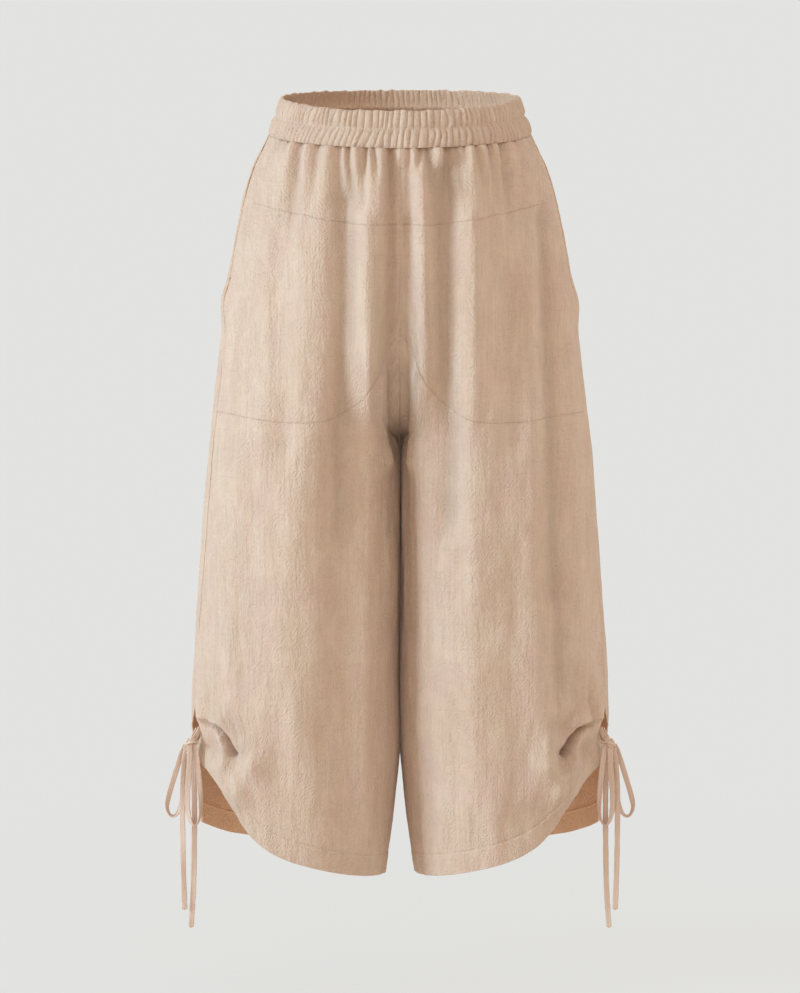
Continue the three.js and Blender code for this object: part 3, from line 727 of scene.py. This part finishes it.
def hem_stitches(name, piece_grids, hem_height):
    """A row of stitches at a height above the foot of a panel, all the way across it."""
    points, hidden, foot_gap = piece_grids
    columns = np.arange(4, points.shape[1] - 4, dtype=float)
    gaps = foot_gap[:, columns.astype(int)]
    rows = (gaps > hem_height).sum(0) - 1
    low = np.take_along_axis(gaps, rows[None, :], 0)[0]
    high = np.take_along_axis(gaps, rows[None, :] + 1, 0)[0]
    line, out = grid_line(points, hidden, rows + (low - hem_height) / (low - high), columns)
    return stitches(name, line, out)


def make_panel(name, side, face, angles, top, foot, size, pitch, seams, relief, hem=False,
               lie=0.0, material=None, dense=(1.0, 1.0)):
    """Panel of cloth. At a share across and a share down, its height is top(across) x (1 - down)
    + foot(across) x down, and its angle runs from the inner to the side edge. It rises by its
    creases and crinkles, and by fullness x (1 - exp(-below / 5 mm)) exp(-below / 40 mm) under the
    band. It dips by groove x exp(-(distance / width)²) at its seams. It lies deeper by `lie` than
    the cloth over it, and its inner edge is drawn back to the middle seam."""
    across, down = np.meshgrid(
        spread_shares(size[0], pitch[0], False, dense[0]),
        spread_shares(size[1], pitch[1], hem, dense[1]),
    )
    z = top(across) * (1 - down) + foot(across) * down
    inner, outer = angles(z)
    angle = face * (inner + (outer - inner) * across)
    plain = place(1, z, angle, 0.0)
    along = line_up(plain)
    edges = {
        "top": top(across) - z,
        "foot": z - foot(across),
        "inner": (along - along[:, :1]),
        "side": (along[:, -1:] - along),
    }
    x = plain[..., 0]
    wide = np.abs(np.sin(angle))
    rise = relief(side, x, z, along, wide)
    hollow = rise * np.clip((x - 6 * mm) / (20 * mm), 0, 1)  # not at the middle seam
    below = np.maximum(rim_height(angle) - BAND_HEIGHT - z, 0)
    turn = (np.pi - angle if side > 0 else angle) % (2 * np.pi)
    full = (1 - np.exp(-below / (5 * mm))) * np.exp(-below / (40 * mm))
    rise = rise + FULLNESS * full * np.clip(1.5 * wide, 0, 1)
    run_on = (ridges(111, turn, 1 + 0 * z, 1) - 0.6) * np.exp(-below / (9 * mm))
    rise = rise + 0.5 * FULLNESS * run_on
    clear = np.clip(np.minimum(edges["inner"], edges["side"]) / (7 * mm), 0, 0 if lie else 1)
    rise = rise + crinkle(11 * (side + 3) + 5 * (face + 2), along, z) * (0.25 + 0.75 * clear)
    # painted shade: the colour darkens in deep folds, where little light gets in; the seams below
    # add dark seam lines
    edge = 2.4 * np.clip(-hollow / DEEP_FOLD, 0, 1) ** 1.3
    for key in seams:
        away = edges[key]
        run = z if key in ("inner", "side") else along
        pucker = lattice(7 + len(key), run / (3.6 * mm), away / (9 * mm))
        rise = rise + PUCKER * pucker * np.exp(-away / (7 * mm))
        rise = rise - GROOVE * np.exp(-((away / GROOVE_WIDTH) ** 2))
        edge = np.maximum(edge, (0.5 + 0.5 * pucker) * np.exp(-((away / (1.4 * mm)) ** 2)))
    wall = WALL + 0 * z
    if hem:
        above = edges["foot"] - HEM_DEPTH
        turned = above < 0.2 * mm
        wall = wall + np.where(turned, TURN_UP, 0)
        rise = rise + np.where(turned, 0.3, 0) * mm
        rise = rise - HEM_GROOVE * np.exp(-((above / (1.1 * mm)) ** 2))
        rumple = lattice(3, along / (8 * mm), z / (16 * mm))
        rise = rise + 0.5 * mm * rumple * np.exp(-((above / (14 * mm)) ** 2))
        edge = np.maximum(edge, 0.6 * np.exp(-((above / (0.9 * mm)) ** 2)))
    if lie:
        mouth = edge_angle(z, through(POCKET_MOUTH, 1, z))
        lie = lie - (lie - MOUTH_LIE) * np.clip((np.abs(angle) - mouth) / 0.07 + 1.2, 0, 1)
    points = place(side, z, angle, rise - lie)
    hidden = place(side, z, angle, rise - lie - wall)
    if "inner" in seams:
        drift = side * (plain[:, :1, 0] - np.abs(points[:, :1, 0]))
        drift = drift * np.exp(-edges["inner"] / (5 * mm))
        points[..., 0] += drift
        hidden[..., 0] += drift
        points[..., 0] = side * np.maximum(side * points[..., 0], SEAM_GAP / 2)
    uv = np.stack([along + 0.35 * side, -z], -1)
    turned_over = (side > 0) == (face > 0)
    piece = surface_mesh(
        f"{name}_cloth", points, hidden, uv, edge, material or CLOTH, False, turned_over
    )
    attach(piece, "root")
    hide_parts(name)
    return piece, (points, hidden, edges["foot"])


def front_relief(side, x, z, along, wide):
    """Folds and creases of the front, which die away at the very middle, and the
    valley that runs down the middle seam to the crotch."""
    inner = tube(z)[1]
    big = creases(FRONT_FOLDS, side, x, z) * np.clip((x - inner) / (20 * mm), 0, 1) * wide
    small = creases(FRONT_GATHERS + FRONT_CREASES, side, x, z)
    small = small + creases(FRONT_RIDGES, side, x, z, sharp=True)
    small = small + 1.4 * creases(FRONT_GATHERS, side, x, z, sharp=True)
    small = small * np.clip((x - inner) / (5 * mm), 0, 1)
    small = small + creases(MIDDLE_VALLEY, side, x, z, sharp=True)
    return big + small * np.clip(wide * 2, 0, 1)


for side, hand in ((1, "left"), (-1, "right")):
    half = SEAM_GAP / 2
    yoke, _ = make_panel(
        f"front_yoke_{hand}", side, -1, front_angles, under_band(-1, front_angles),
        seam(YOKE_SEAM, half, SEAM_WAVES), (0.20, 0.07), (1.7 * mm, 1.6 * mm),
        ("top", "foot", "inner"), relief=front_relief,
    )
    hip, _ = make_panel(
        f"front_hip_{hand}", side, -1, front_angles, seam(YOKE_SEAM, -half, SEAM_WAVES),
        seam(CURVED_SEAM, half), (0.24, 0.19), (2.0 * mm, 1.9 * mm),
        ("top", "foot", "inner", "side"), relief=front_relief,
    )
    leg, leg_grids = make_panel(
        f"front_leg_{hand}", side, -1, front_angles, seam(CURVED_SEAM, -half),
        seam(FRONT_HEM), (0.33, 0.45), (2.7 * mm, 2.7 * mm), ("top", "inner", "side"),
        hem=True, relief=front_relief, dense=(0.72, 0.66),
    )
    sewing = hem_stitches(f"front_hem_stitches_{hand}", leg_grids, HEM_DEPTH - 1.6 * mm)


# ---------------------------------------------------------------------------------------------
# The back: one panel a side, from the band to the hem, cut wider than the front and gathered into
# the band. Its side edge is plain and draws back from the slit, so its inside shows there.
BACK_HEM = SHARE_AND_HEIGHT * np.array([
    (0, -780), (0.5, -769), (0.77, -754), (0.89, -742), (1, -730),
])


def back_relief(side, x, z, along, wide):
    """Folds, creases and uneven gathers of the back."""
    inner = tube(z)[1]
    big = creases(BACK_FOLDS, side, x, z) * np.clip((x - inner) / (20 * mm), 0, 1) * wide
    small = creases(BACK_CREASES, side, x, z) + back_gathers(side, along, z)
    return big + small * np.clip((x - inner) / (5 * mm), 0, 1) * np.clip(wide * 2, 0, 1)


for side, hand in ((1, "left"), (-1, "right")):
    back, back_grids = make_panel(
        f"back_{hand}", side, 1, back_angles, under_band(1, back_angles), seam(BACK_HEM),
        (0.34, 0.76), (3.4 * mm, 3.5 * mm), ("top", "inner", "side"), hem=True,
        relief=back_relief,
    )
    sewing = hem_stitches(f"back_hem_stitches_{hand}", back_grids, HEM_DEPTH - 1.6 * mm)


# ---------------------------------------------------------------------------------------------
# The pocket's back wall: a facing of the same cloth that lies behind the front and shows in the
# slanting mouth of the pocket. It is sewn into the band, and caught in the outseam below.
# The facing's material is the cloth a touch darker in its tan and pink: painted shade, for the
# recess behind the front that it lies in
POCKET_SHADED_CLOTH = linen(
    "linen_cotton_pocket_shaded", (0.735, 0.58, 0.46, 1), (0.66, 0.495, 0.37, 1), (0.69, 0.50, 0.41, 1)
)
POCKET_FOOT = -226 * mm
POCKET_LIE = 4.1 * mm  # how deep it lies behind the front
MOUTH_LIE = 1.2 * mm  # and in the mouth itself


def pocket_angles(z):
    """From half a radian inside the pocket's mouth to a little past the side."""
    return edge_angle(z, through(POCKET_MOUTH, 1, z)) - 0.5, np.pi + 0.06 + 0 * z


for side, hand in ((1, "left"), (-1, "right")):
    pocket, _ = make_panel(
        f"pocket_back_{hand}", side, -1, pocket_angles, under_band(-1, pocket_angles),
        lambda share: POCKET_FOOT + 0 * share, (0.09, 0.2), (2.0 * mm, 2.5 * mm), ("top",),
        lie=POCKET_LIE, material=POCKET_SHADED_CLOTH, relief=front_relief,
    )


# ---------------------------------------------------------------------------------------------
# The waistband: a strip of the cloth folded over two elastics, one in each channel. It is stitched
# between and below them, so each channel bulges, and the elastics draw it up into fine ridges.
BAND_WALL = 2.8 * mm
BAND_PROFILE = SHARE_AND_HEIGHT * np.array([
    (0, -0.4), (0.06, 0.3), (0.2, 0.9), (0.38, 0.6), (0.49, -1.0), (0.6, 0.7), (0.72, 1.2),
    (0.9, 0.5), (1, -1.2),
])
BAND_RIDGE = 3.5 * mm
INNER_RIDGE = 1.9 * mm
CHANNEL_SEAM = 0.49  # share of the band's height where it's stitched between the elastics
BAND_COLUMNS = 1512


def band_out(seed, turn, down):
    """Ridges of the two channels, from -0.6 in the troughs: the upper one's are nearly upright and
    the lower one's slant, and both are pinched at the stitching."""
    upper = ridges(seed, turn, down, 0.4)
    lower = ridges(seed + 10, turn, down, 1.1 - 0.9 * np.cos(turn))
    low = 1 / (1 + np.exp(-(down - CHANNEL_SEAM) / 0.02))
    pinch = 1 - 0.55 * np.exp(-(((down - CHANNEL_SEAM) / 0.05) ** 2))
    pinch = pinch - 0.3 * np.exp(-(((1 - down) / 0.05) ** 2))
    return (upper * (1 - low) + lower * low - 0.6) * pinch


def make_band():
    """Ring round the waist: x = (half width + out) cos(turn), y = (reach + out) sin(turn), with
    an outer and an inner wall, whose top edges are rounded together. Two rows of stitches run
    round it, in the middle and at its foot."""
    share = np.unique(np.concatenate([
        np.linspace(0, 1, 20), [0.008, 0.016, 0.47, 0.49, 0.51, 0.985, 0.993],
    ]))
    turn, down = np.meshgrid(np.arange(BAND_COLUMNS) / BAND_COLUMNS * 2 * np.pi, share)
    z = rim_height(turn) - BAND_HEIGHT * down
    _, _, across, front, back = tube(z)
    reach = np.where(np.sin(turn) > 0, back, front)
    base = through(BAND_PROFILE, 1, down)
    rounding = 1.1 * mm * np.exp(-down / 0.02)
    folds = band_out(101, turn, down)
    out = base + BAND_RIDGE * folds - rounding
    hidden = base - BAND_WALL - INNER_RIDGE * band_out(131, turn, down) + rounding
    rim = 0.9 * mm * lattice(9, turn / (2 * np.pi) * RIDGES, 0 * down) * np.exp(-down / 0.1)

    def ring(offset):
        points = [(across + offset) * np.cos(turn), (reach + offset) * np.sin(turn), z + rim]
        return np.stack(points, -1)

    girth = 0.36 * turn / np.pi
    uv = np.stack([1.35 * girth, -z], -1)
    edge = 0.8 * np.exp(-(((down - CHANNEL_SEAM) / 0.02) ** 2))
    edge = edge + np.exp(-(((1 - down) / 0.03) ** 2))
    outer, inner = ring(out), ring(hidden)
    # painted shade: the troughs between the band's ridges are coloured darker, added to the dark
    # stitching lines
    edge = np.clip(edge, 0, 1) + 2.2 * np.clip(-folds / 0.6, 0, 1) ** 1.5
    band = surface_mesh("waistband_cloth", outer, inner, uv, edge, CLOTH, True, True)
    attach(band, "root")
    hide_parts("waistband")
    columns = np.arange(0, BAND_COLUMNS - 1, 2, dtype=float)
    for which, at in (("middle", CHANNEL_SEAM), ("foot", 0.985)):
        row = np.interp(at, share, np.arange(len(share))) + 0 * columns
        line, out_there = grid_line(outer, inner, row, columns)
        stitches(f"waistband_stitches_{which}", line, out_there)


make_band()


# ---------------------------------------------------------------------------------------------
# The ties: flat cords of folded cloth, 6 mm wide, sewn to the front and the back edge of each
# slit. Each pair is tied in a bow at the slit, and its loops and ends hang down free.
TIE_HALF_WIDTH = 2.8 * mm
TIE_HALF_DEPTH = 0.75 * mm
TIE_ROUTES = {
    "tie_loop_outer": [
        (218.8, -47.4, -640.3), (223.5, -47.5, -651), (230, -47.5, -672), (236.5, -47.5, -694),
        (238, -47, -706), (234, -46, -714), (228, -45, -712), (222.5, -44.5, -698),
        (219, -44.5, -676), (216.4, -44.8, -655), (214.6, -45, -643.5),
    ],
    "tie_loop_inner": [
        (214.2, -53.3, -643), (214.6, -53.6, -662), (216.5, -53.6, -686), (216.5, -53.6, -706),
        (213, -53.2, -720), (207.5, -52.4, -722), (203.5, -51.6, -709), (204, -51, -687),
        (206.4, -50.8, -663), (209, -50.8, -643),
    ],
    "tie_end_short": [
        (217.8, -50.6, -643.2), (220.5, -50.6, -660), (222, -50.6, -690), (222, -51, -730),
        (221.4, -52, -770), (220, -53, -810),
    ],
    "tie_end_long": [
        (212.6, -48, -643), (211, -47.8, -662), (210, -47.8, -700), (210.4, -48, -745),
        (211.4, -49, -790), (214, -50, -829),
    ],
}
TIE_TWISTS = {  # degrees that the flat of the cord turns away from the front, from start to end
    "tie_loop_outer": (35, 15, 10, 25, 60, 75, 60, 20, 10, 5, 10),
    "tie_loop_inner": (10, 5, -5, -20, -60, -78, -55, -15, 0, 10),
    "tie_end_short": (5, 20, 5, -12, 14, 4),
    "tie_end_long": (0, -10, 8, 14, -8, 10),
}
TIE_CLOTH = linen(
    "linen_cotton_tie", (0.78, 0.63, 0.52, 1), (0.69, 0.52, 0.42, 1), (0.72, 0.54, 0.46, 1), 0.4
)


def smooth_route(points, step):
    """Evenly spaced points on a Catmull-Rom curve through the route's points."""
    points = np.array(points, float)
    ends = [2 * points[0] - points[1], 2 * points[-1] - points[-2]]
    all_points = np.concatenate([[ends[0]], points, [ends[1]]])
    t = np.linspace(0, len(points) - 1, 60 * len(points))[:, None]
    k = np.minimum(t[:, 0].astype(int), len(points) - 2)
    t = t - k[:, None]
    p0, p1, p2, p3 = (all_points[k + i] for i in range(4))
    fine = 0.5 * (
        2 * p1 + (p2 - p0) * t + (2 * p0 - 5 * p1 + 4 * p2 - p3) * t**2
        + (3 * p1 - p0 - 3 * p2 + p3) * t**3
    )
    steps = np.linalg.norm(np.diff(fine[:, :3], axis=0), axis=1)
    lengths = np.concatenate([[0], np.cumsum(steps)])
    count = max(int(round(lengths[-1] / step)), 4)
    at = np.linspace(0, lengths[-1], count + 1)
    return np.stack([np.interp(at, lengths, fine[:, i]) for i in range(fine.shape[1])], -1), at


def ribbon(route, twist, side, half_width, half_depth, tip=True):
    """Flat cord along a route. Its section is a flattened ring with a hem's ridge on each edge,
    x = half width x cos^0.8, y = half depth x sin^0.6, turned about the route by the twist."""
    table = np.column_stack([np.array(route, float) * mm, twist])
    points, at = smooth_route(table, 1.3 * mm)
    line = points[:, :3] * np.array([side, 1, 1])
    angle = np.radians(points[:, 3]) * side
    ahead = np.gradient(line, axis=0)
    ahead /= np.linalg.norm(ahead, axis=1)[:, None]
    wide = np.cross(ahead, np.array([0.0, 1.0, 0.0]))
    wide /= np.linalg.norm(wide, axis=1)[:, None]
    deep = np.cross(ahead, wide)
    across = wide * np.cos(angle)[:, None] + deep * np.sin(angle)[:, None]
    through_it = np.cross(ahead, across)
    sides = 20
    turn = np.arange(sides) / sides * 2 * np.pi
    c, s = np.cos(turn), np.sin(turn)
    flat_x = np.sign(c) * np.abs(c) ** 0.8
    flat_y = np.sign(s) * np.abs(s) ** 0.6 * (0.82 + 0.18 * np.abs(c) ** 3 * 2)
    uneven = 1 + 0.06 * lattice(5 + len(route), at / (5 * mm), 0 * at)
    length = at[-1]
    end = np.ones_like(at)
    if tip:
        end = np.sqrt(np.clip((length - at) / (0.8 * mm), 0.05, 1))
    section = (
        across[:, None, :] * (half_width * uneven * end)[:, None, None] * flat_x[None, :, None]
        + through_it[:, None, :] * (half_depth * end)[:, None, None] * flat_y[None, :, None]
    )
    body = line[:, None, :] + section
    count = len(line)
    i, j = np.meshgrid(np.arange(count - 1), np.arange(sides), indexing="ij")
    a, b = i * sides + j, i * sides + (j + 1) % sides
    quads = np.stack([a, b, b + sides, a + sides], -1).reshape(-1, 4)
    verts = np.concatenate([body.reshape(-1, 3), line[:1], line[-1:]])
    first, last = count * sides, count * sides + 1
    j = np.arange(sides)
    tail = (count - 1) * sides
    caps = np.concatenate([
        np.stack([np.full(sides, first), (j + 1) % sides, j], -1),
        np.stack([np.full(sides, last), tail + j, tail + (j + 1) % sides], -1),
    ])
    uv = np.stack(np.broadcast_arrays(half_width * flat_x[None, :], at[:, None]), -1)
    uv = np.concatenate([uv.reshape(-1, 2), [[0, 0], [0, length]]])
    stitched = np.exp(-(((np.abs(flat_x) - 0.66) / 0.09) ** 2))
    edge = np.concatenate([np.tile(stitched, count), [0, 0]])
    return verts, quads, caps, uv, edge, line


def join_tubes(name, tubes, material):
    """One mesh from several flat cords, with normals turned outwards by each tube's own volume."""
    verts, faces, uvs, edges, start = [], [], [], [], 0
    for points, quads, caps, uv, edge, _ in tubes:
        a, b, c = points[quads[:, 0]], points[quads[:, 1]], points[quads[:, 2]]
        inside_out = (a * np.cross(b, c)).sum() < 0
        for block in (quads, caps):
            block = block[:, ::-1] if inside_out else block
            faces.extend((block + start).tolist())
        verts.append(points)
        uvs.append(uv)
        edges.append(edge)
        start += len(points)
    mesh = bpy.data.meshes.new(name)
    mesh.from_pydata(np.concatenate(verts).tolist(), [], faces)
    mesh.polygons.foreach_set("use_smooth", np.ones(len(faces), bool))
    corners = np.empty(len(mesh.loops), np.int32)
    mesh.loops.foreach_get("vertex_index", corners)
    flat = np.concatenate(uvs)[corners]
    mesh.uv_layers.new(name="cloth").data.foreach_set("uv", flat.astype(np.float32).ravel())
    near = mesh.attributes.new("seam", "FLOAT", "POINT")
    near.data.foreach_set("value", np.concatenate(edges).astype(np.float32))
    mesh.update()
    mesh.materials.append(material)
    piece = bpy.data.objects.new(name, mesh)
    bpy.context.scene.collection.objects.link(piece)
    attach(piece, "root")
    return piece


KNOT_STRANDS = [
    # route, twist at its points, half width, half depth
    ([(204.6, -41.5, -624.2), (206.2, -45.0, -628), (208.6, -48.2, -632.6), (211, -50, -637)],
     (40, 30, 20, 10), 2.5, 0.9),
    ([(207.4, -40.5, -625.2), (209.4, -44.0, -629.5), (211.6, -47.2, -633.6), (213, -49, -638)],
     (50, 35, 20, 10), 2.4, 0.9),
    ([(207.2, -49.6, -637.8), (209.4, -53.2, -636.6), (213.2, -54.3, -637), (216.6, -51.6, -638.6),
      (216.2, -47.6, -640), (212, -46.4, -640.2), (208, -47.6, -639.2), (206.8, -50.6, -637.4)],
     (85, 88, 90, 92, 95, 95, 90, 85), 2.9, 1.25),
    ([(209.6, -51.2, -632.4), (212.6, -52.6, -636), (214.6, -52.6, -641), (214.3, -52.4, -646)],
     (15, 5, 0, 5), 2.8, 1.2),
    ([(213.8, -49.6, -634.8), (216.6, -50.2, -638.2), (218.2, -49.6, -642.6), (218.4, -49.8, -647)],
     (20, 25, 20, 10), 2.5, 1.2),
    ([(210.8, -49.4, -637), (210.2, -50.6, -641.5), (209.2, -50.8, -646)], (0, -8, -5), 2.5, 1.2),
]

for side, hand in ((1, "left"), (-1, "right")):
    strands = [
        ribbon(route, twist, side, w * mm, d * mm, tip=False)
        for route, twist, w, d in KNOT_STRANDS
    ]
    knot = join_tubes(f"tie_knot_{hand}_cord", strands, TIE_CLOTH)
    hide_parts(f"tie_knot_{hand}")
    for name, route in TIE_ROUTES.items():
        loop = "loop" in name
        made = ribbon(route, TIE_TWISTS[name], side, TIE_HALF_WIDTH, TIE_HALF_DEPTH, tip=not loop)
        cord = join_tubes(f"{name}_{hand}_cord", [made], TIE_CLOTH)
        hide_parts(f"{name}_{hand}")
